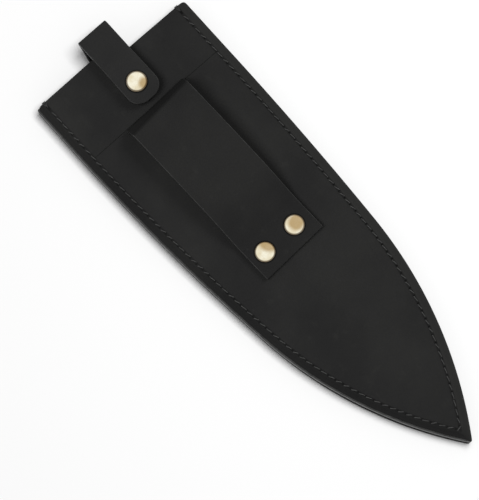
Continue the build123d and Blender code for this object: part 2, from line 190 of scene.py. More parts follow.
def stitchMarks(wire, place, colour, height):
    # painted shade in the holes and in the pulled-in line between them, painted shade on the left margin and
    # a painted sheen on the right, and the worn rim
    look = leatherLook
    run = wire.add("ShaderNodeUVMap", uv_map="edge")
    along, inward = axis(wire, run, "X"), axis(wire, run, "Y")
    phase = wire.maths("ABSOLUTE", wire.maths("FRACT", along + 0.5) - 0.5)
    aside = wire.maths("ABSOLUTE", inward - stitchMargin / 10)
    hole = 1 - smoothMask(wire, phase, *look["holeLength"])
    hole = hole * (1 - smoothMask(wire, aside, *look["holeWidth"]))
    groove = 1 - smoothMask(wire, aside, *look["grooveWidth"])
    rightness = smoothMask(wire, axis(wire, place, "X"), *look["rightFrom"])
    # painted shade in the groove and, deeper on the right, in the holes; the height sinks both too
    colour = blend(wire, groove * look["grooveShade"], colour, look["hole"])
    depth = look["leftHole"] + rightness * (look["rightHole"] - look["leftHole"])
    colour = blend(wire, hole * depth, colour, look["hole"])
    height = height - hole * look["holeDepth"] - groove * look["grooveDepth"]
    # outside the stitches: painted shade on the left margin, painted sheen on the right margin
    outside = 1 - smoothMask(wire, inward, *look["marginRun"])
    colour = blend(wire, outside * (1 - rightness) * look["leftMarginShade"], colour, look["hole"])
    colour = blend(wire, outside * rightness * look["rightMarginSheen"], colour, look["edge"])
    rim = 1 - smoothMask(wire, inward, *look["rimRun"])
    wearAndReflection = rim * smoothMask(wire, noiseOf(wire, place, look["wearScale"], 5.0, 0.7), *look["wearRun"])
    return blend(wire, wearAndReflection * look["wornRim"], colour, look["edge"]), height, rim


def leatherMaterial(name, stitched, tone=1.0, edgeGloss=0.0, foldLine=None, dentedAndShaded=()):
    look = leatherLook
    made, wire, place = newMaterial(name)
    cloudy = noiseOf(wire, place, look["cloudScale"], 4.0)
    fine = noiseOf(wire, place, look["grainScale"], 4.0, 0.6)
    pores = wire.add("ShaderNodeTexVoronoi", {"Vector": place, "Scale": look["poreScale"]},
                     feature="DISTANCE_TO_EDGE")
    creases = smoothMask(wire, pores, *look["poreRun"])
    scuffs = smoothMask(wire, noiseOf(wire, place, look["scuffScale"], 6.0, 0.7), *look["scuffRun"])
    dark, light = (toned(look[shade], tone) for shade in ("dark", "light"))
    colour = blend(wire, smoothMask(wire, cloudy, *look["cloudRun"]), dark, light)
    colour = blend(wire, (1 - creases) * look["poreShade"], colour, look["hole"])
    colour = blend(wire, scuffs * look["scuffShade"], colour, look["edge"])
    if foldLine:
        colour = foldShade(wire, place, foldLine, colour)
    height = fine * look["grainShare"] + creases * look["creaseShare"]
    colour, height = capDentsAndShade(wire, place, dentedAndShaded, colour, height)
    rough = look["rough"] + cloudy * look["cloudRough"] - scuffs * look["scuffGloss"]
    if stitched:
        colour, height, rim = stitchMarks(wire, place, colour, height)
        rough = rough - rim * edgeGloss
    bump = bumpOf(wire, look["grainBump"], look["grainDepth"], height)
    return feed(made, Base_Color=colour, Roughness=rough, Normal=bump, Specular_IOR_Level=look["shine"])


cutLook = {
    "tint": (1.0, 1.0, 0.97), "dark": 0.4, "light": 1.0, "wearAndReflection": 1.7, "stretch": (300.0, 300.0, 1500.0),
    "fibreRun": (0.35, 0.7), "markScale": 330.0, "markRun": (0.5, 0.7), "markShade": 0.5,
    "rough": 0.26, "fibreRough": 0.16, "bump": 0.6, "depth": 0.0001,
}


def cutEdgeMaterial(name, tone, shine):
    # burnished fibres that run along the layers of the cut; the tone is partly the edge's finish and partly
    # painted light, a sheen on the lighter copies and shade on the darkest
    made, wire, place = newMaterial(name)
    stretched = wire.add("ShaderNodeMapping", {"Vector": place, "Scale": cutLook["stretch"]})
    fibres = noiseOf(wire, stretched, 1.0, 5.0, 0.65)
    marks = smoothMask(wire, noiseOf(wire, place, cutLook["markScale"], 4.0), *cutLook["markRun"])
    dark, light, wearAndReflection = (toned(cutLook["tint"], tone * cutLook[part]) for part in ("dark", "light", "wearAndReflection"))
    colour = blend(wire, smoothMask(wire, fibres, *cutLook["fibreRun"]), dark, light)
    colour = blend(wire, marks * cutLook["markShade"], colour, wearAndReflection)
    bump = bumpOf(wire, cutLook["bump"], cutLook["depth"], fibres)
    rough = cutLook["rough"] + fibres * cutLook["fibreRough"]
    return feed(made, Base_Color=colour, Roughness=rough, Normal=bump, Specular_IOR_Level=shine)


# the thread is near black; the twist is a real pattern, and the light colour of its bands is a painted
# highlight
threadLook = {
    "dark": (0.006, 0.006, 0.006), "light": (0.034, 0.034, 0.033), "twistScale": 900.0, "fuzzScale": 2600.0,
    "twistGlint": 0.8, "twistShare": 0.7, "fuzzShare": 0.3, "rough": 0.38, "fuzzRough": 0.2,
    "bump": 0.7, "depth": 0.00006, "shine": 0.35,
}


def threadMaterial(name, tone):
    look = threadLook
    made, wire, place = newMaterial(name)
    twist = wire.add("ShaderNodeTexWave", {
        "Vector": place, "Scale": look["twistScale"], "Distortion": 1.5, "Detail": 2.0,
    }, "Fac", wave_type="BANDS", bands_direction="DIAGONAL")
    fuzz = noiseOf(wire, place, look["fuzzScale"], 3.0)
    dark, light = (toned(look[shade], tone) for shade in ("dark", "light"))
    colour = blend(wire, twist * look["twistGlint"], dark, light)
    height = twist * look["twistShare"] + fuzz * look["fuzzShare"]
    bump = bumpOf(wire, look["bump"], look["depth"], height)
    rough = look["rough"] + fuzz * look["fuzzRough"]
    return feed(made, Base_Color=colour, Roughness=rough, Normal=bump, Specular_IOR_Level=look["shine"])


goldLook = {
    "pale": (0.92, 0.875, 0.71, 1), "deep": (0.80, 0.72, 0.52, 1), "tan": (0.43, 0.28, 0.10, 1),
    "rimShadeColour": (0.06, 0.033, 0.014, 1), "rimShadeShare": 0.85, "tanReflection": 0.8,
    "fade": 2.1, "wander": 0.6, "ring": (3.4, 3.95), "cloudScale": 260.0, "cloudRun": (0.35, 0.65),
    "grainScale": 2400.0, "rough": 0.24, "cloudRough": 0.1, "bump": 0.12, "depth": 0.00005,
}


def goldMaterial(name, middle=None, patch=None):
    # middle is the top of a cap whose rim gets a painted shade, patch the offset and radius of a painted tan
    # reflection on the dome
    look = goldLook
    made, wire, place = newMaterial(name)
    cloudy = noiseOf(wire, place, look["cloudScale"], 3.0)
    fine = noiseOf(wire, place, look["grainScale"], 3.0)
    colour = blend(wire, smoothMask(wire, cloudy, *look["cloudRun"]), look["deep"], look["pale"])
    if patch:
        away = awayFrom(wire, place, (middle[0] + patch[0], middle[1] + patch[1], middle[2]))
        # painted tan reflection, a patch on the dome
        wearAndReflection = 1 - smoothMask(wire, away + cloudy * look["wander"], patch[2], patch[2] + look["fade"])
        # painted shade on the cap's rolled rim
        rimShade = smoothMask(wire, awayFrom(wire, place, middle), *look["ring"])
        colour = blend(wire, wearAndReflection * look["tanReflection"], colour, look["tan"])
        colour = blend(wire, rimShade * look["rimShadeShare"], colour, look["rimShadeColour"])
    bump = bumpOf(wire, look["bump"], look["depth"], fine + cloudy)
    rough = look["rough"] + cloudy * look["cloudRough"]
    return feed(made, Base_Color=colour, Roughness=rough, Metallic=1.0, Normal=bump)


steelLook = {
    "dark": (0.45, 0.46, 0.47, 1), "light": (0.66, 0.66, 0.66, 1), "drawnScale": 1800.0,
    "rough": 0.24, "drawnRough": 0.15,
}


def steelMaterial(name):
    made, wire, place = newMaterial(name)
    drawn = noiseOf(wire, place, steelLook["drawnScale"], 4.0)
    colour = blend(wire, drawn, steelLook["dark"], steelLook["light"])
    rough = steelLook["rough"] + drawn * steelLook["drawnRough"]
    return feed(made, Base_Color=colour, Roughness=rough, Metallic=1.0)


grainLeather = leatherMaterial("grainLeather", False, 1.15)
stitchedLeather = leatherMaterial("stitchedLeather", True, edgeGloss=0.12)
# flesh side under the loop and inside the strap; its dark tone is partly the matte flesh side and partly
# painted shade under the flap and loop
fleshSideShaded = leatherMaterial("fleshSideShaded", False, 0.3)
# lighter copies of the cut edge: the edge's finish with a painted sheen
burnishedEdgeSheen = cutEdgeMaterial("burnishedEdgeSheen", 0.021, 0.35)
trimmedEdgeSheen = cutEdgeMaterial("trimmedEdgeSheen", 0.014, 0.25)
# darkest copy of the cut edge: painted shade on the riser's cut edges under the flap
shadedEdge = cutEdgeMaterial("shadedEdge", 0.004, 0.05)
waxedThread = threadMaterial("waxedThread", 1.0)
# darker copy of the same thread for the tacks: painted shade, as their slopes face the lamps
tackThreadShaded = threadMaterial("tackThreadShaded", 0.5)
paleGold = goldMaterial("paleGold")
springWire = steelMaterial("springWire")
print("materials made")


def unit(vector):
    return vector / np.linalg.norm(vector)


def turnedBy(vector, angle):
    c, s = math.cos(angle), math.sin(angle)
    return np.array([vector[0] * c - vector[1] * s, vector[0] * s + vector[1] * c])


def distancesAlong(path):
    return np.concatenate([[0], np.cumsum(np.linalg.norm(np.diff(path, axis=0), axis=1))])


def directionsOf(path):
    steps = np.gradient(path, axis=0)
    return steps / np.linalg.norm(steps, axis=1)[:, None]


# Outline of the leaf
def tangentArc(start, end, heading, count):
    # points and headings of an arc that leaves its start in a given direction
    start, heading, chord = np.array(start), unit(np.array(heading)), np.subtract(end, start)
    half = math.atan2(heading[0] * chord[1] - heading[1] * chord[0], heading @ chord)
    points, headings = [], []
    for step in range(count + 1):
        angle = 2 * half * step / count
        if abs(half) < 1e-6:
            points.append(start + chord * step / count)
        else:
            radius = np.linalg.norm(chord) / (2 * math.sin(half))
            side = np.array([-heading[1], heading[0]])
            points.append(start + radius * (heading * math.sin(angle) + side * (1 - math.cos(angle))))
        headings.append(turnedBy(heading, angle))
    return np.array(points), np.array(headings)


# for each side, as shares of width and length: where its straight ends and where its two arcs meet
sideShares = {1: (0.833, (0.936, 0.431)), -1: (0.895, (0.829, 0.390))}


def sideCurve(side, inset=0.0, count=160):
    straightShare, (bellyAcross, bellyAlong) = sideShares[side]
    sharpTip = tipY - sheath["tipCut"]  # where the two sides meet before the tip is rounded
    start = (side * halfWidth, sharpTip + length * straightShare)
    belly = (side * halfWidth * bellyAcross, sharpTip + length * bellyAlong)
    tip = (tipShift, sharpTip)
    upper, upperRun = tangentArc(start, belly, (0, -1), count)
    lower, lowerRun = tangentArc(belly, tip, upperRun[-1], count)
    top = np.linspace((start[0], mouthY + 4), start, 60, endpoint=False)
    points = np.vstack([top, upper, lower[1:]])
    runs = np.vstack([np.tile([0, -1], (len(top), 1)), upperRun, lowerRun[1:]])
    inward = np.stack([runs[:, 1], -runs[:, 0]], 1) * side
    return points + inward * inset


def crossing(left, right):
    # where an inset left side meets an inset right side, near the tip
    gap = np.interp(left[::-1, 1], right[::-1, 1], right[::-1, 0]) - left[::-1, 0]
    k = int(np.argmax(gap > 0))
    y0, y1, g0, g1 = left[::-1, 1][k - 1], left[::-1, 1][k], gap[k - 1], gap[k]
    y = y0 - g0 * (y1 - y0) / (g1 - g0)
    return np.array([np.interp(y, left[::-1, 1], left[::-1, 0]), y])


def ringLine(inset):
    # one open line round the leaf: down the left side, round the tip, up the right side
    left, right = (sideCurve(side, inset) for side in (-1, 1))
    corner = crossing(left, right)
    left, right = left[left[:, 1] > corner[1]], right[right[:, 1] > corner[1]]
    return np.vstack([left, corner, right[::-1]])


def roundedOutline():
    # both sides with an arc of the tip radius between them
    radius = sheath["tipRadius"]
    left, right = (sideCurve(side) for side in (-1, 1))
    leftIn, rightIn = (sideCurve(side, radius) for side in (-1, 1))
    centre = crossing(leftIn, rightIn)
    ends = [side[np.argmin(np.abs(np.linalg.norm(side - centre, axis=1) - radius)
                           + np.maximum(0, inner[:, 1] - centre[1] - 1) * 9)]
            for side, inner in ((left, leftIn), (right, rightIn))]
    a0, a1 = (math.atan2(*(end - centre)[::-1]) for end in ends)
    a0 = a0 - 2 * math.pi if a0 > 0 else a0
    turn = np.linspace(a0, a1, 24)
    arc = centre + radius * np.stack([np.cos(turn), np.sin(turn)], 1)
    left, right = (side[side[:, 1] > end[1] + 0.02] for side, end in zip((left, right), ends))
    return np.vstack([left, arc, right[::-1]])


outline = roundedOutline()
tipRow = int(np.argmin(outline[:, 1]))
leftLine, rightLine = outline[: tipRow + 1][::-1], outline[tipRow:]
print("outline from", outline[tipRow].round(3), "points", len(outline))


def nearest(points, line):
    # distance from points to an open line, and the length along the line of the nearest place
    start, run = line[:-1], np.diff(line, axis=0)
    size = np.linalg.norm(run, axis=1)
    walked = distancesAlong(line)
    best, along = np.full(len(points), 1e9), np.zeros(len(points))
    for k in range(0, len(points), 4000):
        part = points[k: k + 4000]
        share = ((part[:, None] - start) * run).sum(2) / (size ** 2 + 1e-12)
        share = np.clip(share, 0, 1)
        away = np.linalg.norm(part[:, None] - (start + share[..., None] * run), axis=2)
        pick = away.argmin(1)
        rows = np.arange(len(part))
        best[k: k + 4000] = away[rows, pick]
        along[k: k + 4000] = walked[pick] + share[rows, pick] * size[pick]
    return best, along


def fromOutline(grid):
    return nearest(grid.reshape(-1, 2), outline)[0].reshape(grid.shape[:2])


def smoothstep(value, low, high):
    t = np.clip((value - low) / (high - low), 0, 1)
    return t * t * (3 - 2 * t)


# the line of stitches; span is a share of the pitch, tilt the least and the most turn of a stitch in radians
stitchRun = {
    "pitch": 3.35, "thread": 0.22, "rise": 0.88, "dip": 0.28, "span": 0.90, "turn": 1.6, "fromMouth": 3.4,
    "sunk": 0.02, "backHeight": 0.42, "points": 900, "archSteps": 9, "sides": 8, "seed": 7,
    "tilt": ((-0.08, -0.09, 0.08), (0.08, 0.09, 0.46)),
}
stitchLine = ringLine(stitchMargin)
leftTop = mouthY - stitchRun["fromMouth"]
stitchTops = (leftTop, leftTop - mouthStep)
middle = int(np.argmin(stitchLine[:, 1]))
keep = np.ones(len(stitchLine), bool)
keep[:middle] = stitchLine[:middle, 1] < stitchTops[0]
keep[middle:] = stitchLine[middle:, 1] < stitchTops[1]
stitchLine = stitchLine[keep]
stitchLength = float(distancesAlong(stitchLine)[-1])
stitchCount = round(stitchLength / stitchRun["pitch"])
stitchPitch = stitchLength / stitchCount
print("stitch line", round(stitchLength, 1), "mm,", stitchCount, "stitches")

# share of the length, reach and shift across as shares of half the width, share of the crown's height
crownTable = np.array([
    (1.20, 0.80, 0.00, 1.00), (0.75, 0.80, 0.00, 1.00), (0.50, 0.75, 0.03, 1.00),
    (0.25, 0.52, 0.05, 0.70), (0.08, 0.14, 0.07, 0.10), (-0.05, 0.07, 0.08, 0.02),
])[::-1]


def crownOf(x, y):
    # height of the front's swelling over the blade
    share = (y - tipY) / length
    reach, shift, rise = (np.interp(share, crownTable[:, 0], crownTable[:, k]) for k in (1, 2, 3))
    t = np.clip(np.abs(x - halfWidth * shift) / (halfWidth * reach), 0, 1)
    return sheath["crown"] * rise * (1 - t * t) * (1 - 0.15 * t)


def mouthLine(x):
    # the stepped mouth with its rounded corners
    t = smoothstep(x, -sheath["stepRun"] / 2, sheath["stepRun"] / 2)
    y = mouthY - mouthStep * t
    corner = sheath["mouthCorner"]
    past = np.clip(np.abs(x) - (halfWidth - corner), 0, corner)
    return y - (corner - np.sqrt(np.maximum(corner ** 2 - past ** 2, 0)))


def addObject(name, data):
    made = bpy.data.objects.new(name, data)
    bpy.context.scene.collection.objects.link(made)
    return made


def meshObject(name, points, faces, materials, body, faceSlots=None, sharpest=38.0, recalc=False):
    # recalc turns the faces outward; body may be left out, and then the piece is not attached to a body
    mesh = bpy.data.meshes.new(name)
    mesh.from_pydata((np.asarray(points, float) / 1000).tolist(), [], faces)
    for made in materials:
        mesh.materials.append(made)
    if faceSlots is not None:
        mesh.polygons.foreach_set("material_index", faceSlots)
    mesh.polygons.foreach_set("use_smooth", [True] * len(mesh.polygons))
    mesh.update()
    mesh.set_sharp_from_angle(angle=math.radians(sharpest))
    made = addObject(name, mesh)
    if recalc:
        shape = bmesh.new()
        shape.from_mesh(mesh)
        bmesh.ops.recalc_face_normals(shape, faces=shape.faces)
        shape.to_mesh(mesh)
        shape.free()
    if body:
        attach(made, body)
    return made


# columns in from each side, closest at the rim and at the stitch line
borderSteps = [0, 0.06, 0.16, 0.32, 0.55, 0.9, 1.4, 2.0, 2.6, 3.1, 3.45, 3.75, 4.0, 4.25, 4.55, 4.9, 5.4]
borderSteps += [6.2, 7.2]


def leafGrid(rows, shares, endLine=None, warpFrom=0.0):
    # rows of points across the leaf; the outer columns keep their distance from the sides
    grid = []
    for y in rows:
        xl = np.interp(y, leftLine[:, 1], leftLine[:, 0])
        xr = np.interp(y, rightLine[:, 1], rightLine[:, 0])
        xl2, xr2 = (np.interp(y + 0.5, line[:, 1], line[:, 0]) for line in (leftLine, rightLine))
        half = (xr - xl) / 2
        row = []
        for slope, sign, edge in (((xl2 - xl) / 0.5, 1, xl), ((xr2 - xr) / 0.5, -1, xr)):
            stretch = min(math.hypot(1, slope), 2.0)
            steps = np.array(borderSteps) * stretch
            steps = steps * min(1, 0.9 * half / steps[-1])
            side = edge + sign * steps
            row.append(side if sign > 0 else side[::-1])
        inner = row[0][-1] + (row[1][0] - row[0][-1]) * np.array(shares)
        x = np.concatenate([row[0], inner, row[1]])
        yy = np.full(len(x), y)
        if endLine is not None and y > warpFrom:
            last = rows[-1]
            yy = warpFrom + (y - warpFrom) * (endLine(x) - warpFrom) / (last - warpFrom)
        grid.append(np.stack([x, yy], 1))
    return np.array(grid)


def closedSheet(grid, top, bottom, wallSteps=5):
    # a closed sheet from a grid of places and the heights of its two faces: points, faces and wall flags
    rows, columns = grid.shape[:2]
    count = rows * columns
    flat = grid.reshape(-1, 2)
    points = np.vstack([np.column_stack([flat, top.ravel()]), np.column_stack([flat, bottom.ravel()])])
    index = np.arange(count).reshape(rows, columns)
    a, b, c, d = index[:-1, :-1], index[:-1, 1:], index[1:, 1:], index[1:, :-1]
    faces = np.stack([a, b, c, d], -1).reshape(-1, 4).tolist()
    faces += (np.stack([d, c, b, a], -1).reshape(-1, 4) + count).tolist()
    sheets = len(faces)
    loop = np.concatenate([index[0, :], index[1:, -1], index[-1, -2::-1], index[-2:0:-1, 0]])
    rings = [loop]
    extra = []
    for step in range(1, wallSteps):
        share = step / wallSteps
        ring = points[loop] * (1 - share) + points[loop + count] * share
        rings.append(2 * count + (step - 1) * len(loop) + np.arange(len(loop)))
        extra.append(ring)
    rings.append(loop + count)
    points = np.vstack([points] + extra)
    for upper, lower in zip(rings, rings[1:]):
        nextUpper, nextLower = np.roll(upper, -1), np.roll(lower, -1)
        faces += np.stack([upper, lower, nextLower, nextUpper], -1).tolist()
    return points, faces, [0] * sheets + [1] * (len(faces) - sheets)


def edgeUv(thing):
    # U counts stitches along the stitch line, V is the distance in from the side in centimetres
    mesh = thing.data
    flat = np.array([v.co[:2] for v in mesh.vertices]) * 1000
    along, inward = nearest(flat, stitchLine)[1], nearest(flat, outline)[0]
    layer = mesh.uv_layers.new(name="edge")
    corners = np.empty(len(mesh.loops), int)
    mesh.loops.foreach_get("vertex_index", corners)
    values = np.stack([along[corners] / stitchPitch, inward[corners] / 10], 1)
    layer.data.foreach_set("uv", values.ravel().astype(np.float32))


def leatherSheet(name, node, grid, top, bottom):
    points, faces, walls = closedSheet(grid, top, bottom)
    made = meshObject(name, points, faces, [stitchedLeather, burnishedEdgeSheen], "sheath", walls)
    edgeUv(made)
    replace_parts(made, node)


def roundOff(distance, radius):
    t = np.clip(radius - distance, 0, radius)
    return radius - np.sqrt(np.maximum(radius ** 2 - t ** 2, 0))


def ridge(distance, middle, width):
    return np.exp(-((distance - middle) / width) ** 2)


# drops and rises of the front leather's face; ledge is how far it is trimmed back at the mouth and at the tip
panelShape = {
    "bevel": 0.85, "bevelRun": (3.3, 0.3), "rim": 0.45, "groove": 0.28, "grooveWidth": 0.55,
    "pillow": 0.22, "pillowFrom": 7.5, "pillowWidth": 2.6, "mouthRound": 0.4,
    "wander": 0.10, "wanderRun": (4.5, 12), "wanderSeed": 11, "wanderWave": 0.045,
    "seamShift": 0.02, "seamGap": 0.03, "seamRound": 0.16, "seamRun": (3.4, 4.6),
    "innerCrown": 0.98, "innerRound": 0.18,
    "ledge": (0.80, 1.25), "ledgeRun": (-20, -90), "ledgeWidth": (0.4, 4.5), "ledgeAcross": (0.2, -2.5),
    # how far the mouth leather reaches down to the seam, and further at its margins
    "lapFrom": 0.2, "lapTo": 1.4, "lap": 0.15, "marginLap": 0.08, "marginRun": (3.4, 4.4), "evenBelow": 6,
}
rippleTable = np.random.default_rng(panelShape["wanderSeed"]).uniform(0, 2 * math.pi, (6, 2))


def ripple(x, y):
    # very soft unevenness of the hand-cut leather
    total = 0
    for k, (a, b) in enumerate(rippleTable):
        wave = panelShape["wanderWave"] * (1 + 0.6 * k)
        total = total + np.sin(x * wave * math.cos(a) + y * wave * math.sin(a) + b) / (1 + k)
    return total / 2.4


def frontHeights(grid, atMouth):
    x, y = grid[..., 0], grid[..., 1]
    d = fromOutline(grid)
    shape = panelShape
    top = frontTopZ + crownOf(x, y) - shape["bevel"] * smoothstep(d, *shape["bevelRun"])
    top = top - shape["groove"] * ridge(d, stitchMargin, shape["grooveWidth"])
    top = top + shape["pillow"] * ridge(d, shape["pillowFrom"], shape["pillowWidth"])
    top = top + shape["wander"] * ripple(x, y) * smoothstep(d, *shape["wanderRun"])
    top = top - roundOff(d, shape["rim"])
    end = (mouthLine(x) - y) if atMouth else np.full(x.shape, 99.0)
    top = top - roundOff(end, shape["mouthRound"])
    seam = np.abs(y - (seamY + shape["seamShift"])) - shape["seamGap"]
    top = top - roundOff(np.maximum(seam, 0), shape["seamRound"]) * smoothstep(d, *shape["seamRun"])
    bottom = frontZ + crownOf(x, y) * shape["innerCrown"] + roundOff(np.minimum(d, end), shape["innerRound"])
    return top, bottom


def drawnIn(grid):
    # the front leather was trimmed a little inside the layers below it on the left, most near the tip
    x, y = grid[..., 0], grid[..., 1]
    near, far = panelShape["ledge"]
    reach = near + (far - near) * smoothstep(y, *panelShape["ledgeRun"])
    onLeft = smoothstep(x - tipShift, *panelShape["ledgeAcross"])
    moved = grid.copy()
    moved[..., 0] += reach * (1 - smoothstep(fromOutline(grid), *panelShape["ledgeWidth"])) * onLeft
    return moved


def innerShares(count):
    return [k / (count + 1) for k in range(1, count + 1)]


def spaced(low, high, step, lowSteps, highSteps):
    # even rows between the finer steps at both ends
    inner = np.linspace(low + lowSteps[-1], high - highSteps[-1], max(2, round((high - low) / step)))
    return np.concatenate([[low + s for s in lowSteps[:-1]], inner, [high - s for s in highSteps[-2::-1]]])


tipSteps = (0.02, 0.08, 0.2, 0.4, 0.65, 0.95, 1.3, 1.7, *np.arange(2.1, 7.2, 0.5).round(1), 7.7, 8.4)
endSteps = (0, 0.05, 0.14, 0.28, 0.45, 0.7, 1.1)
rowSteps = {"lower": 1.1, "mouth": 1.0, "back": 1.3}
lowerGrid = leafGrid(spaced(tipY, seamY, rowSteps["lower"], tipSteps, endSteps), innerShares(34))
leatherSheet("frontLowerLeather", "front_lower_panel", drawnIn(lowerGrid), *frontHeights(lowerGrid, False))

shape = panelShape
mouthRows = spaced(seamY + shape["lapFrom"], mouthY, rowSteps["mouth"], endSteps, endSteps)
mouthGrid = leafGrid(mouthRows, innerShares(44), mouthLine, seamY + shape["evenBelow"])
atSeam = smoothstep(mouthGrid[..., 1] - seamY, shape["lapTo"], shape["lapFrom"])
inMargin = 1 - smoothstep(fromOutline(mouthGrid), *shape["marginRun"])
mouthGrid[..., 1] -= atSeam * (shape["lap"] + shape["marginLap"] * inMargin)
leatherSheet("frontMouthLeather", "front_mouth_panel", drawnIn(mouthGrid), *frontHeights(mouthGrid, True))
print("front leather made")

# Strap sizes, used by the back leather's slot too
strap = {
    "width": 14.2, "thickness": 1.8, "rootY": 97.85, "crestY": 109.15, "flapTop": 13.6, "endY": 73.25,
    "endRadius": 5.6, "gap": 0.3, "slotBack": 1.5, "edgeRound": 0.42, "crestRadius": 1.0, "crestReach": 1.50,
    "snapY": 81.85, "flare": 0.9, "flareRun": (12.5, 5.0), "flareEnd": (1.9, 3.6),
    "widen": 0.35, "widenRun": (22, 6),
    "tuck": 1.45, "rootRadius": 0.9, "rootStep": 0.35, "flapStep": 0.45, "rootBlend": 1.1, "crestBlend": 1.3,
}
tongueHalf = strap["width"] / 2 + strap["gap"]


def backLine(x):
    inTongue = np.abs(x) < tongueHalf + 0.02
    return np.where(inTongue, strap["rootY"] - strap["slotBack"], mouthLine(x))


backShape = {"groove": 0.22, "grooveWidth": 0.5, "outerRound": 0.5, "innerRound": 0.18,
             "slotEdges": (0.0, 0.04), "evenBelow": 60.0}
evenWidth = sheath["width"] - 2 * borderSteps[-1]
slotShares = [0.5 + s * (tongueHalf + e) / evenWidth for s in (-1, 1) for e in backShape["slotEdges"]]
slotShares = sorted(set([round(v, 5) for v in innerShares(34)] + slotShares))
backRows = spaced(tipY, mouthY, rowSteps["back"], tipSteps, endSteps)
backGrid = leafGrid(backRows, slotShares, backLine, backShape["evenBelow"])
fromSide = fromOutline(backGrid)
fromEdge = np.minimum(fromSide, np.maximum(mouthLine(backGrid[..., 0]) - backGrid[..., 1], 0))
groove = backShape["groove"] * ridge(fromSide, stitchMargin, backShape["grooveWidth"])
inner = sheath["leather"] - roundOff(fromEdge, backShape["innerRound"])
outer = groove + roundOff(fromEdge, backShape["outerRound"])
leatherSheet("backLeather", "back_panel", backGrid, inner, outer)
print("back leather made")

def ringFaces(rings, around, base=0):
    # the sides and both ends of a tube whose points are numbered from base, ring by ring
    faces = []
    for r in range(rings - 1):
        for k in range(around):
            a, b = base + r * around + k, base + r * around + (k + 1) % around
            faces.append((a, b, b + around, a + around))
    first, last = (tuple(base + r * around + k for k in range(around)) for r in (0, rings - 1))
    return faces + [first[::-1], last]


def tubeOf(name, sections, materials, body, sharpest=38.0, slotOf=None):
    # joins equal rings of points along a run; slotOf gives the material of a side on a ring
    rings, around = sections.shape[:2]
    slots = [slotOf(k, r) if slotOf else 0 for r in range(rings - 1) for k in range(around)]
    slots += [min(1, len(materials) - 1)] * 2
    faces = ringFaces(rings, around)
    return meshObject(name, sections.reshape(-1, 3), faces, materials, body, slots, sharpest, True)


# Welts: a closed strip down each side, its outer face burnished, with a painted sheen, and soft waves between
# the layers
weltShape = {
    "recess": 0.10, "bulge": 0.06, "layerLine": 0.12, "tipRecess": 0.40, "tipRun": (-20, -80), "step": 1.4,
    "levels": (0.02, 0.25, 0.9), "back": 0.25, "evenFrom": 9.5, "ends": (1.2, 0.9, 0.5, 0.2, 0),
}


def weltStrip(name, side):
    outer = leftLine if side < 0 else rightLine
    back, (lastEven, *ends) = weltShape["back"], weltShape["ends"]
    end = mouthY - (mouthStep if side > 0 else 0) - back
    evenRows = np.arange(tipY + weltShape["evenFrom"], end - lastEven, weltShape["step"])
    ys = [tipY + step + back for step in tipSteps] + evenRows.tolist() + [end - e for e in ends]
    inner = sideCurve(side, sheath["weltWidth"])[::-1]
    low, high = sheath["leather"], frontZ
    levels = [low + v for v in weltShape["levels"]] + [(low + high) / 2]
    levels += [high - v for v in weltShape["levels"][::-1]]
    sections = []
    for y in ys:
        xo = np.interp(y, outer[:, 1], outer[:, 0])
        corner = max(0.0, sheath["mouthCorner"] * 0.6 - (end - y))
        xi = np.interp(y, inner[:, 1], inner[:, 0]) if y > inner[0, 1] else tipShift
        xi = min(xi, tipShift) if side < 0 else max(xi, tipShift)
        drawn = weltShape["tipRecess"] * float(smoothstep(y, *weltShape["tipRun"])) if side < 0 else 0
        section = []
        for z in levels:
            wave = weltShape["recess"] + drawn
            wave -= weltShape["bulge"] * math.sin(math.pi * (z - low) / (high - low))
            wave += weltShape["layerLine"] if z in (levels[0], levels[-1]) else 0
            wave += 0.03 * math.sin(y * 1.7 + z * 2.0) + 0.02 * math.sin(y * 4.1 - z)
            section.append((xo - side * min(wave + corner * corner * 0.5, abs(xo - xi) * 0.9), y, z))
        sections.append(section + [(xi, y, levels[-1]), (xi, y, levels[0])])
    return tubeOf(name, np.array(sections), [burnishedEdgeSheen], "sheath")


for side, name, node in ((-1, "weltLeft", "welt_left"), (1, "weltRight", "welt_right")):
    welt = weltStrip(name, side)
    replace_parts(welt, node)
print("welts made")


# Bent strips of leather: the belt loop, the strap's riser and its flap
def filletPath(corners, radii, step):
    # a line through the corners with each inner one rounded, in even steps
    corners = [np.array(c, float) for c in corners]
    path = [corners[0]]
    for before, corner, after, radius in zip(corners, corners[1:], corners[2:], radii):
        u, v = unit(before - corner), unit(after - corner)
        half = math.acos(np.clip(u @ v, -1, 1)) / 2
        reach = radius / math.tan(half)
        centre = corner + unit(u + v) * radius / math.sin(half)
        a, b = corner + u * reach - centre, corner + v * reach - centre
        turn = math.atan2(a[0] * b[1] - a[1] * b[0], a @ b)
        count = 2 * max(2, int(abs(turn) * radius / step / 2))
        path += [centre + turnedBy(a, turn * k / count) for k in range(count + 1)]
    path.append(corners[-1])
    fine = [path[0]]
    for point in path[1:]:
        gap = np.linalg.norm(point - fine[-1])
        count = max(1, int(round(gap / step)))
        fine += [fine[-1] + (point - fine[-1]) * k / count for k in range(1, count + 1)]
    keep = [fine[0]] + [p for q, p in zip(fine, fine[1:]) if np.linalg.norm(p - q) > 1e-4]
    return np.array(keep)


def parallel(corners, distance):
    # the same line moved sideways, with its corners mitred
    corners = [np.array(c, float) for c in corners]
    runs = [unit(b - a) for a, b in zip(corners, corners[1:])]
    rights = [np.array([r[1], -r[0]]) for r in runs]
    moved = [corners[0] + rights[0] * distance]
    for corner, before, after in zip(corners[1:], rights, rights[1:]):
        both = before + after
        moved.append(corner + both * distance / (both @ before))
    return moved + [corners[-1] + rights[-1] * distance]


acrossSteps = [0, 0.02, 0.06, 0.12, 0.2, 0.35, 0.5, 0.65, 0.8, 0.88, 0.94, 0.98, 1]


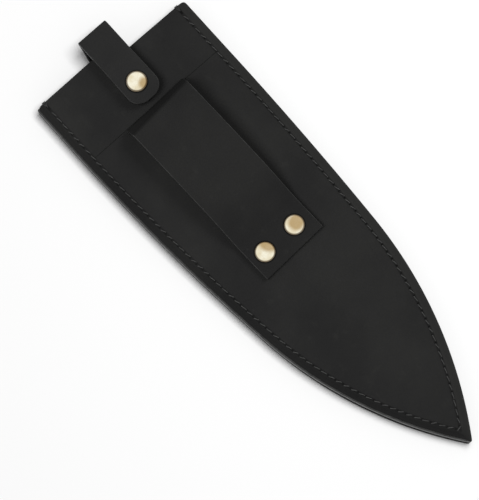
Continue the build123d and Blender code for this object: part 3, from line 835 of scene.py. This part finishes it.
def stripSections(path, thickness, acrossOf, rounding, lift=None):
    # rings round a bent strip; path is its middle line in the y, z plane, acrossOf gives each row's two sides
    tangents, walked = directionsOf(path), distancesAlong(path)
    rights = np.stack([tangents[:, 1], -tangents[:, 0]], 1)
    half, r = thickness / 2, rounding
    turns = np.linspace(0.35, 1.3, 3)
    sections = []
    for k, (point, right) in enumerate(zip(path, rights)):
        low, high = acrossOf(walked[k], walked[-1])
        inner = [low + r + (high - low - 2 * r) * p for p in acrossSteps]
        ring = []
        for side, edge, xs in ((1, high, inner), (-1, low, inner[::-1])):
            ring += [(x, side * half) for x in xs]
            for face, angles in ((side, turns), (-side, turns[::-1])):
                ring += [(edge - side * r * (1 - math.sin(a)), face * (half - r * (1 - math.cos(a))))
                         for a in angles]
        row = []
        for x, off in ring:
            bow = lift(x, off, point, right, walked[k] / walked[-1]) if lift else 0
            y, z = point + right * (off + bow)
            row.append((x, y, z))
        sections.append(row)
    return np.array(sections)


# sides of a ring by number: the two cuts, and the faces to the right and to the left of the path
stripCuts, stripRight, stripLeft = (*range(13, 18), *range(32, 37)), range(12), range(19, 31)

# Caps of the rivets and the snap; they stand on the belt loop and the flap, and press a ring into each,
# darkened by a painted contact shadow
caps = {
    "rim": 0.4, "tuck": 0.035, "steps": 64, "domeSteps": 22,
    "roll": ((0.12, 0.02), (0.02, 0.12)), "foot": ((0.02, 0.08), (0.1, 0.0)),
    "rivet": {"radius": 4.1, "dome": 1.6, "post": 1.4, "postLength": 4.4},
    "snap": {"radius": 4.2, "dome": 1.5, "post": 1.0, "postLength": 2.3},
    # where each cap's painted tan reflection sits: offset from the top and radius
    "tanLeft": (3.9, 1.8, 3.4), "tanRight": (1.2, 0.1, 2.4), "tanSnap": (2.2, -3.0, 1.9),
}
beltLoop = {
    "width": 30.2, "thickness": 1.8, "skew": 1.3, "shift": -0.6, "endY": -9.45, "flat": 16.0, "rise": 16.0,
    "gap": 6.2, "shoulder": 4.6, "crest": 24.0, "lean": 4.9, "edge": 0.4, "sag": 0.35, "sagRun": 1.15,
    "cutSlope": 0.9, "cutMiddle": 35, "cutRun": 40, "foldSlope": 2.1, "foldFade": 30.0,
    "rootRise": 0.6, "clear": 0.02, "slopeFrom": 1.0, "rootRadius": 1.2, "creaseRadius": 0.25,
    "creaseShare": 0.9, "bends": (24.9, 16.9, 7.1), "step": 0.7,
}
crownTop = frontTopZ + sheath["crown"]
loopThickness = beltLoop["thickness"]
rivetRun = beltLoop["endY"] + beltLoop["flat"] - seamY
foldTop, footTop = crownTop + beltLoop["gap"], crownTop + beltLoop["clear"]
loopCorners = [
    (-loopThickness, frontZ + beltLoop["rootRise"]),
    (-loopThickness, crownTop + loopThickness),
    (-beltLoop["lean"], foldTop), (-beltLoop["lean"] - beltLoop["crest"], foldTop),
    (rivetRun + beltLoop["rise"], crownTop + beltLoop["shoulder"]), (rivetRun, footTop),
    (beltLoop["endY"] - seamY, footTop),
]
loopHalf = loopThickness / 2
creaseRadius = beltLoop["creaseRadius"] + loopHalf
loopMiddle = parallel(loopCorners, loopHalf)
loopPath = filletPath(loopMiddle, [beltLoop["rootRadius"] + loopHalf, creaseRadius, *beltLoop["bends"]],
                      beltLoop["step"])
creaseTurn = math.acos(-unit(loopMiddle[2] - loopMiddle[1])[0])


def loopSides(walked, total):  # the same all the way
    return -beltLoop["width"] / 2, beltLoop["width"] / 2


def loopBow(x, off, point, right, share):
    across = x / (beltLoop["width"] / 2)
    bow = -beltLoop["sag"] * math.sin(math.pi * min(1, share * beltLoop["sagRun"])) ** 2 * (1 - across ** 2)
    # the fold is creased sharp on its outer side
    if off > 0 and np.linalg.norm(point - loopMiddle[2]) < creaseRadius:
        away = math.acos(np.clip(right[1], -1, 1)) - creaseTurn / 2
        if abs(away) < creaseTurn / 2:
            bow += beltLoop["creaseShare"] * (creaseRadius + off) * (1 / math.cos(away) - 1)
    return bow


loopSections = stripSections(loopPath, loopThickness, loopSides, beltLoop["edge"], loopBow)
turn, slope, foldSlope = (math.radians(beltLoop[part]) for part in ("skew", "cutSlope", "foldSlope"))
x, y = loopSections[..., 0].copy(), loopSections[..., 1].copy()
raised = smoothstep(loopSections[..., 2], crownTop + beltLoop["slopeFrom"], foldTop)
fromFold = smoothstep(-y, beltLoop["foldFade"], beltLoop["lean"])
atEnds = smoothstep(np.abs(y + beltLoop["cutMiddle"]), 0, beltLoop["cutRun"])
y = y + x * math.tan(slope) * atEnds + x * math.tan(foldSlope) * raised * fromFold
loopSections[..., 0] = beltLoop["shift"] + x * math.cos(turn) - y * math.sin(turn)
loopSections[..., 1] = seamY + x * math.sin(turn) + y * math.cos(turn)
# the outer crease stands nearer to the seam than the inner corner of the bend
creaseDown = beltLoop["lean"] - loopThickness * math.tan(creaseTurn / 2)
# where the painted fold shade of the loop's leather begins
foldPlace = (beltLoop["shift"] + creaseDown * math.sin(turn), seamY - creaseDown * math.cos(turn))
foldLine = (*foldPlace, beltLoop["skew"] + beltLoop["cutSlope"] + beltLoop["foldSlope"])


def rivetFoot(side):
    # the middle of a rivet cap where it sits on the belt loop
    low, high = (1000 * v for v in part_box("loop_rivet_cap_" + side))
    return (low[0] + high[0]) / 2, (low[1] + high[1]) / 2, crownTop + loopThickness


# each rivet cap's middle and radius, for its dent and its painted contact shadow
rivetDentsAndShade = [(rivetFoot(side), caps["rivet"]["radius"]) for side in ("left", "right")]
# the loop's leather gets painted shade past the fold and a painted contact shadow round each rivet cap
loopLeather = leatherMaterial("loopLeather", False, 0.9, foldLine=foldLine, dentedAndShaded=rivetDentsAndShade)
loopStrip = tubeOf("beltLoopLeather", loopSections, [loopLeather, trimmedEdgeSheen, fleshSideShaded], "sheath", 50.0,
                   lambda side, ring: 1 if side in stripCuts else 2 if side in stripLeft else 0)
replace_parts(loopStrip, "belt_loop")
print("belt loop made", len(loopPath), "rows")

bend = math.atan2(strap["flapTop"], strap["crestY"] - strap["rootY"])
upRun = np.array([math.cos(bend), math.sin(bend)])
rootPoint, crestPoint = np.array([strap["rootY"], 0.0]), np.array([strap["crestY"], strap["flapTop"]])
strapHalf = strap["thickness"] / 2
midRiser = (rootPoint + crestPoint) / 2 + np.array([-upRun[1], upRun[0]]) * strapHalf
rootMiddle = rootPoint + np.array([-strapHalf * math.tan(bend / 2), strapHalf])
# the rounded crest still reaches the CAD's sharp one
crestReach = strap["crestReach"] * (strap["crestRadius"] + strapHalf)
crestMiddle = crestPoint + np.array([crestReach - strapHalf / math.tan(bend / 2), -strapHalf])
rootEnd, flapEnd = (strap["rootY"] - strap["tuck"], strapHalf), (strap["endY"], strap["flapTop"] - strapHalf)
lowPath = filletPath([midRiser, rootMiddle, rootEnd], [strap["rootRadius"]], strap["rootStep"])
highPath = filletPath([flapEnd, crestMiddle, midRiser], [strap["crestRadius"]], strap["flapStep"])


def riserFlare(height):
    # the strap widens on its left on the way down, until it drops into the back leather's slot
    return strap["flare"] * smoothstep(height, *strap["flareRun"]) * smoothstep(height, *strap["flareEnd"])


def strapSides(walked, total):
    half = strap["width"] / 2
    r = strap["endRadius"]
    if walked < r:
        half = half - r + math.sqrt(max(r * r - (r - max(walked, 0.04)) ** 2, 0))
    half += strap["widen"] / 2 * smoothstep(walked, *strap["widenRun"])
    return -half - riserFlare(midRiser[1] + (total - walked) * math.sin(bend)), half


def rootSides(walked, total):
    return -strap["width"] / 2 - riserFlare(midRiser[1] - walked * math.sin(bend)), strap["width"] / 2


# the riser's cut edges past the crest take the painted shade copy of the cut edge
def flapSlot(side, ring):
    if side in stripCuts:
        return 1 if ring < crestRing else 3
    return 2 if side in stripRight else 0


snapFoot = (0, strap["snapY"], strap["flapTop"])
# the flap's leather gets a painted contact shadow round the snap cap
strapLeather = leatherMaterial("strapLeather", False, 1.15, dentedAndShaded=[(snapFoot, caps["snap"]["radius"])])
rootSections = stripSections(lowPath, strap["thickness"], rootSides, strap["edgeRound"])
strapRoot = tubeOf("strapRootLeather", rootSections, [grainLeather, shadedEdge, fleshSideShaded], None, 50.0,
                   lambda side, ring: 1 if side in stripCuts else 2 if side in stripRight else 0)
flapSections = stripSections(highPath, strap["thickness"], strapSides, strap["edgeRound"])
crestRing = int(np.argmax(highPath[:, 0]))
flapFinish = [strapLeather, trimmedEdgeSheen, fleshSideShaded, shadedEdge]
strapFlap = tubeOf("strapFlapLeather", flapSections, flapFinish, None, 50.0, flapSlot)


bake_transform(strapRoot)
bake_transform(strapFlap)
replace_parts(strapRoot, "strap_riser")
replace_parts(strapFlap, "strap_flap")
print("strap made")


# Stitches by Geometry Nodes: a short arched thread from hole to hole
stitchInputs = {
    "Geometry": "NodeSocketGeometry", "Count": "NodeSocketInt", "Span": "NodeSocketFloat",
    "Thread": "NodeSocketFloat", "Rise": "NodeSocketFloat", "Dip": "NodeSocketFloat", "Seed": "NodeSocketInt",
    "Finish": "NodeSocketMaterial",
}


def stitchTree():
    tree = bpy.data.node_groups.new("stitchRow", "GeometryNodeTree")
    for label, kind in stitchInputs.items():
        tree.interface.new_socket(label, in_out="INPUT", socket_type=kind)
    tree.interface.new_socket("Geometry", in_out="OUTPUT", socket_type="NodeSocketGeometry")
    wire = Wire(tree)
    source = wire.add("NodeGroupInput")
    path = wire.add("GeometryNodeMeshToCurve", {"Mesh": source})
    spread = wire.add("GeometryNodeResampleCurve", {"Curve": path, "Count": source.out("Count")})
    half, down = source.out("Span") * 0.5, source.out("Dip") * -1.0
    first = wire.add("ShaderNodeCombineXYZ", {"X": half * -1.0, "Z": down})
    peak = wire.add("ShaderNodeCombineXYZ", {"Z": source.out("Rise")})
    last = wire.add("ShaderNodeCombineXYZ", {"X": half, "Z": down})
    arch = wire.add("GeometryNodeCurveQuadraticBezier",
                    {"Resolution": stitchRun["archSteps"], "Start": first, "Middle": peak, "End": last})
    section = wire.add("GeometryNodeCurvePrimitiveCircle",
                       {"Resolution": stitchRun["sides"], "Radius": source.out("Thread")})
    stitch = wire.add("GeometryNodeCurveToMesh", {"Curve": arch, "Profile Curve": section, "Fill Caps": True})
    turned = wire.add("FunctionNodeAlignRotationToVector", {"Vector": wire.add("GeometryNodeInputTangent")},
                      axis="X", pivot_axis="Z")
    least, most = stitchRun["tilt"]
    tilt = wire.add("FunctionNodeRandomValue",
                    {"Seed": source.out("Seed"), "Min": least, "Max": most},
                    data_type="FLOAT_VECTOR")
    laid = wire.add("FunctionNodeRotateRotation", {"Rotation": turned, "Rotate By": tilt},
                    rotation_space="LOCAL")
    placed = wire.add("GeometryNodeInstanceOnPoints",
                      {"Points": spread, "Instance": stitch, "Rotation": laid})
    solid = wire.add("GeometryNodeRealizeInstances", {"Geometry": placed})
    smooth = wire.add("GeometryNodeSetShadeSmooth", {"Geometry": solid})
    dressed = wire.add("GeometryNodeSetMaterial", {"Geometry": smooth, "Material": source.out("Finish")})
    tree.links.new(dressed.socket, tree.nodes.new("NodeGroupOutput").inputs[0])
    return tree


stitchRow = stitchTree()


def stitchesAlong(name, heightOf, downward):
    walked = distancesAlong(stitchLine)
    places = np.linspace(stitchPitch / 2, stitchLength - stitchPitch / 2, stitchRun["points"])
    line = np.stack([np.interp(places, walked, stitchLine[:, k]) for k in (0, 1)], 1)
    near = ridge(places[:, None], places, stitchRun["turn"])  # takes the sharp corner off the V at the tip
    line = (near @ line) / near.sum(1)[:, None]
    points = np.column_stack([line, heightOf(line)])
    mesh = bpy.data.meshes.new(name + "Path")
    mesh.from_pydata((points / 1000).tolist(), [(k, k + 1) for k in range(len(points) - 1)], [])
    carrier = addObject(name + "Path", mesh)
    made = carrier.modifiers.new("stitchRow", "NODES")
    made.node_group = stitchRow
    sign = -1 if downward else 1
    lengths = {"Span": stitchPitch * stitchRun["span"], "Thread": stitchRun["thread"],
               "Rise": sign * stitchRun["rise"], "Dip": sign * stitchRun["dip"]}
    wanted = {label: value / 1000 for label, value in lengths.items()}
    wanted.update({"Count": stitchCount, "Seed": stitchRun["seed"], "Finish": waxedThread})
    for item in stitchRow.interface.items_tree:
        if item.in_out == "INPUT" and item.name in wanted:
            made[item.identifier] = wanted[item.name]
    graph = bpy.context.evaluated_depsgraph_get()
    mesh = bpy.data.meshes.new_from_object(carrier.evaluated_get(graph))
    bpy.data.objects.remove(carrier)
    row = addObject(name, mesh)
    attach(row, "sheath")
    print(name, len(mesh.vertices), "points")
    return row


def onFront(line):
    return frontTopZ + crownOf(line[:, 0], line[:, 1]) - panelShape["groove"] - stitchRun["sunk"]


def onBack(line):
    return np.full(len(line), stitchRun["backHeight"])


frontStitches = stitchesAlong("frontStitches", onFront, False)
backStitches = stitchesAlong("backStitches", onBack, True)
for row, node in ((frontStitches, "thread_front"), (backStitches, "thread_back")):
    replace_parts(row, node)


def cord(path, radius, sides=8):
    # rings of a round thread along a path in space
    side = np.array([1.0, 0.02, 0.03])
    rings = []
    for point, tangent in zip(path, directionsOf(path)):
        side = unit(side - tangent * (side @ tangent))
        up = np.cross(tangent, side)
        rings.append([point + radius * (side * math.cos(a) + up * math.sin(a))
                      for a in np.linspace(0, 2 * math.pi, sides, endpoint=False)])
    return np.array(rings)


def smoothRun(corners, count):
    # Catmull-Rom line through the corners
    p = np.array([corners[0], *corners, corners[-1]], float)
    run = []
    for a, b, c, d in zip(p, p[1:], p[2:], p[3:]):
        for t in np.linspace(0, 1, count, endpoint=False):
            bent = (2 * a - 5 * b + 4 * c - d) * t ** 2 + (3 * b - a - 3 * c + d) * t ** 3
            run.append(0.5 * (2 * b + (c - a) * t + bent))
    return run + [p[-2]]


tack = {"strands": 3, "thread": 0.20, "reach": 2.4, "spacing": 0.46, "fan": 0.35, "steps": 6, "above": 0.05}


def tackRun(x, fan, mouth):
    # from the last stitch hole over the mouth's edge and back under the guard
    top = frontTopZ + tack["above"]
    return smoothRun([
        (x - fan, mouth - tack["reach"], top - 0.5), (x - fan, mouth - tack["reach"] + 0.5, top - 0.12),
        (x, mouth - 1.0, top - 0.05), (x, mouth + 0.02, top - 0.15), (x + fan * 0.3, mouth + 0.28, top - 0.8),
        (x, mouth + 0.22, frontTopZ / 2), (x - fan * 0.3, mouth + 0.24, 0.9), (x, mouth - 0.05, 0.42),
    ], tack["steps"])


for side, name, node, mouth in ((-1, "tackLeft", "tack_left", mouthY),
                                (1, "tackRight", "tack_right", mouthY - mouthStep)):
    faces, points = [], []
    for k in range(tack["strands"]):
        x = side * (halfWidth - stitchMargin + (k - 1) * tack["spacing"])
        rings = cord(tackRun(x, (k - 1) * tack["fan"] * side, mouth), tack["thread"])
        faces += ringFaces(*rings.shape[:2], len(points))
        points += rings.reshape(-1, 3).tolist()
    wrap = meshObject(name, points, faces, [tackThreadShaded], "sheath", recalc=True)
    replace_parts(wrap, node)
print("thread made")


# The caps as turned profiles with a rolled rim
def turnedCap(name, centre, size, body, finish):
    radius, dome, rim, steps = size["radius"], size["dome"], caps["rim"], caps["steps"]
    ball = (radius ** 2 + (dome - rim) ** 2) / (2 * (dome - rim))
    angles = np.linspace(0, math.asin(min(1, radius / ball)), caps["domeSteps"])[1:-1]
    profile = [(ball * math.sin(a), dome - ball + ball * math.cos(a)) for a in angles]
    profile = [(r * (1 - caps["tuck"] * (r / radius) ** 4), z) for r, z in profile]
    profile += [(radius - r, rim - z) for r, z in caps["roll"]] + [(radius, rim / 2)]
    profile += [(radius - r, z) for r, z in caps["foot"]]
    profile += [(size["post"], 0.0), (size["post"], -size["postLength"])]
    turns = [2 * math.pi * k / steps for k in range(steps)]
    points = [(0, 0, dome)] + [(r * math.cos(a), r * math.sin(a), z) for r, z in profile for a in turns]
    faces = [(0, 1 + k, 1 + (k + 1) % steps) for k in range(steps)]
    for row in range(len(profile) - 1):
        for k in range(steps):
            a, b = 1 + row * steps + k, 1 + row * steps + (k + 1) % steps
            faces.append((a, a + steps, b + steps, b))
    faces.append(tuple(1 + (len(profile) - 1) * steps + k for k in range(steps))[::-1])
    made = meshObject(name, np.array(points) + centre, faces, [finish], body, sharpest=60.0, recalc=True)
    return made


for name, node, label, size, foot, body in (
        ("rivetCapLeft", "loop_rivet_cap_left", "Left", caps["rivet"], rivetFoot("left"), "sheath"),
        ("rivetCapRight", "loop_rivet_cap_right", "Right", caps["rivet"], rivetFoot("right"), "sheath"),
        ("snapCapDome", "snap_cap", "Snap", caps["snap"], snapFoot, "strap_flap")):
    finish = goldMaterial("paleGold" + label, (foot[0], foot[1], foot[2] + size["dome"]), caps["tan" + label])
    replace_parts(turnedCap(name, foot, size, body, finish), node)

for node in ("loop_rivet_base_left", "loop_rivet_base_right", "snap_socket", "snap_stud", "snap_backing",
             "snap_spring"):
    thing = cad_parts[node]
    thing.data.materials.clear()
    thing.data.materials.append(springWire if node == "snap_spring" else paleGold)
print("fastenings made")

# Studio: white paper, three soft lamps and a camera above the guard; lengths here are in metres
studio = {
    "distance": 1.007, "azimuth": 318.178, "elevation": 82.03, "lens": 184.68,
    "aim": (-0.01314, 0.00689, 0.0),
    "sky": 0.30, "floorWhite": 0.06, "paper": 0.925, "floorHalf": 3, "floorHeight": -0.0003,
    # for each lamp its place as seen in the picture (right, up, above the floor), its side and its power
    "keyLamp": ((-0.43, -0.20, 0.87), 0.44, 16.2),
    "rimLamp": ((0.76, 0.56, 1.20), 0.60, 22.0),
    "paperLamp": ((0.233, 0.172, 1.20), 0.59, 13.4),
}


def seenRay(wire):
    # 1 for what the camera sees, straight or by a shiny or clear surface, 0 for light that falls on the guard
    rays = wire.add("ShaderNodeLightPath")
    seen = wire.maths("MAXIMUM", rays, rays.out("Is Glossy Ray"))
    return wire.maths("MAXIMUM", seen, rays.out("Is Transmission Ray"))


def paperMaterial(name):
    made = bpy.data.materials.new(name)
    made.use_nodes = True
    made.node_tree.nodes.remove(made.node_tree.nodes["Principled BSDF"])
    wire = Wire(made.node_tree)
    paper = wire.add("ShaderNodeBsdfDiffuse", {"Color": (*[studio["paper"]] * 3, 1)})
    glow = wire.add("ShaderNodeEmission", {"Color": (1, 1, 1, 1), "Strength": 1.0})
    mixed = wire.add("ShaderNodeMixShader", {0: seenRay(wire) * studio["floorWhite"], 1: paper, 2: glow})
    under = wire.add("ShaderNodeNewGeometry", output="Backfacing")  # clear from below
    clear = wire.add("ShaderNodeBsdfTransparent")
    mixed = wire.add("ShaderNodeMixShader", {0: under, 1: mixed, 2: clear})
    made.node_tree.links.new(mixed.socket, made.node_tree.nodes["Material Output"].inputs["Surface"])
    return made


floorMesh = bpy.data.meshes.new("floor")
half, height = studio["floorHalf"], studio["floorHeight"]
corners = [(x * half, y * half, height) for x, y in ((-1, -1), (1, -1), (1, 1), (-1, 1))]
floorMesh.from_pydata(corners, [], [(0, 1, 2, 3)])
floorMesh.materials.append(paperMaterial("floorPaper"))
floor = addObject("floor", floorMesh)

world = bpy.data.worlds.new("studio")
bpy.context.scene.world = world
world.use_nodes = True
background = world.node_tree.nodes["Background"]
background.inputs["Color"].default_value = (1, 1, 1, 1)
strength = studio["sky"] + seenRay(Wire(world.node_tree)) * (1 - studio["sky"])
world.node_tree.links.new(strength.socket, background.inputs["Strength"])


def softLamp(name):
    (right, up, height), side, power = studio[name]
    lamp = bpy.data.lights.new(name, "AREA")
    lamp.size, lamp.energy = side, power
    made = addObject(name, lamp)
    made.visible_glossy = False
    a = math.radians(studio["azimuth"])
    made.location = (right * math.cos(a) - up * math.sin(a), right * math.sin(a) + up * math.cos(a), height)
    made.rotation_euler = (-made.location).to_track_quat("-Z", "Y").to_euler()
    return made


keyLamp, rimLamp, paperLamp = (softLamp(name) for name in ("keyLamp", "rimLamp", "paperLamp"))
# the key and rim lamps light the guard but not the paper, and the paper lamp lights only the paper
for name, lamps, state in (("paperLeftOut", (keyLamp, rimLamp), "EXCLUDE"),
                           ("paperAlone", (paperLamp,), "INCLUDE")):
    aside = bpy.data.collections.new(name)
    aside.objects.link(floor)
    aside.collection_objects[0].light_linking.link_state = state
    for lamp in lamps:
        lamp.light_linking.receiver_collection = aside

camera = addObject("camera", bpy.data.cameras.new("camera"))
bpy.context.scene.camera = camera
azimuth, elevation = math.radians(studio["azimuth"]), math.radians(studio["elevation"])
level = math.cos(elevation)
backward = Vector((math.sin(azimuth) * level, -math.cos(azimuth) * level, math.sin(elevation)))
camera.location = Vector(studio["aim"]) + backward * studio["distance"]
camera.rotation_mode = "QUATERNION"
camera.rotation_quaternion = (-backward).to_track_quat("-Z", "Y")
camera.data.lens = studio["lens"]
camera.data.clip_start, camera.data.clip_end = 0.05, 20
bpy.context.scene.view_settings.view_transform = "Standard"
